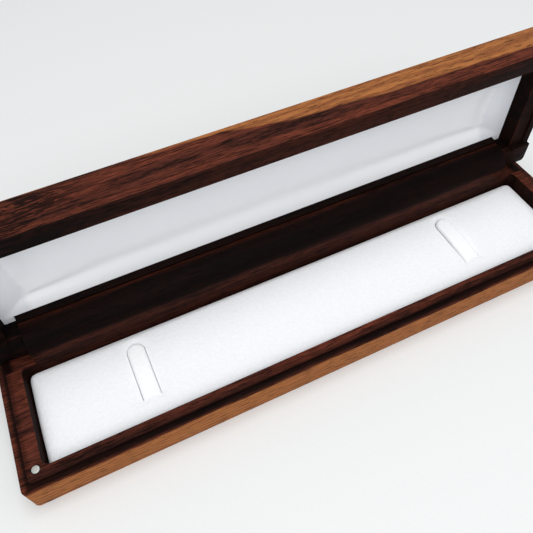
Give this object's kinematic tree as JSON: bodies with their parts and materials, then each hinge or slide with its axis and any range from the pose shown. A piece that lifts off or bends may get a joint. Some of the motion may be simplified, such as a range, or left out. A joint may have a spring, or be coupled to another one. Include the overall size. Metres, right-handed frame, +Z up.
{
  "type": "fountain pen case",
  "caption": "Long hinged walnut presentation case standing open, with a white padded insert that has strap tongues and a pale padded lid lining.",
  "frame": {"origin": "centre of the flat underside of the base", "axes": "+X along the length to the right as seen from the front, +Y to the back where the hinge is, +Z up"},
  "size_m": [0.26, 0.0737, 0.0777],
  "materials": {
    "base_walnut": "satin oiled walnut, dark heartwood with a pale edge",
    "lid_walnut": "satin oiled walnut, reddish heartwood with an orange-brown sapwood band",
    "pin_steel": "plain ground steel",
    "magnet_nickel": "nickel-plated disc",
    "board": "plain grey-brown board",
    "foam": "soft open foam or wadding",
    "pad_velvet": "short-pile white velvet",
    "lining_satin": "pale padded satin-like cloth"
  },
  "bodies": {
    "base": {"base_body": "base_walnut", "hinge_pin_left": "pin_steel", "hinge_pin_right": "pin_steel", "base_magnet_left": "magnet_nickel", "base_magnet_right": "magnet_nickel", "pad_board": "board", "pad_foam": "foam", "pad_cover": "pad_velvet"},
    "lid": {"lid_body": "lid_walnut", "lid_magnet_left": "magnet_nickel", "lid_magnet_right": "magnet_nickel", "lid_lining_board": "board", "lid_lining_wadding": "foam", "lid_lining_cloth": "lining_satin"},
    "tongue_left": {"pad_tongue_left": "pad_velvet"},
    "tongue_right": {"pad_tongue_right": "pad_velvet"}
  },
  "joints": [
    {"name": "lid_hinge", "type": "hinge", "parent": "base", "child": "lid", "pos_m": [0, 0.02665, 0.0188], "axis": [1, 0, 0], "range_deg": [0, 90]},
    {"name": "tongue_left_hinge", "type": "hinge", "parent": "base", "child": "tongue_left", "pos_m": [-0.0772, -0.01425, 0.0102], "axis": [1, 0, 0], "range_deg": [0, 25]},
    {"name": "tongue_right_hinge", "type": "hinge", "parent": "base", "child": "tongue_right", "pos_m": [0.0747, -0.01425, 0.0102], "axis": [1, 0, 0], "range_deg": [0, 25]}
  ]
}
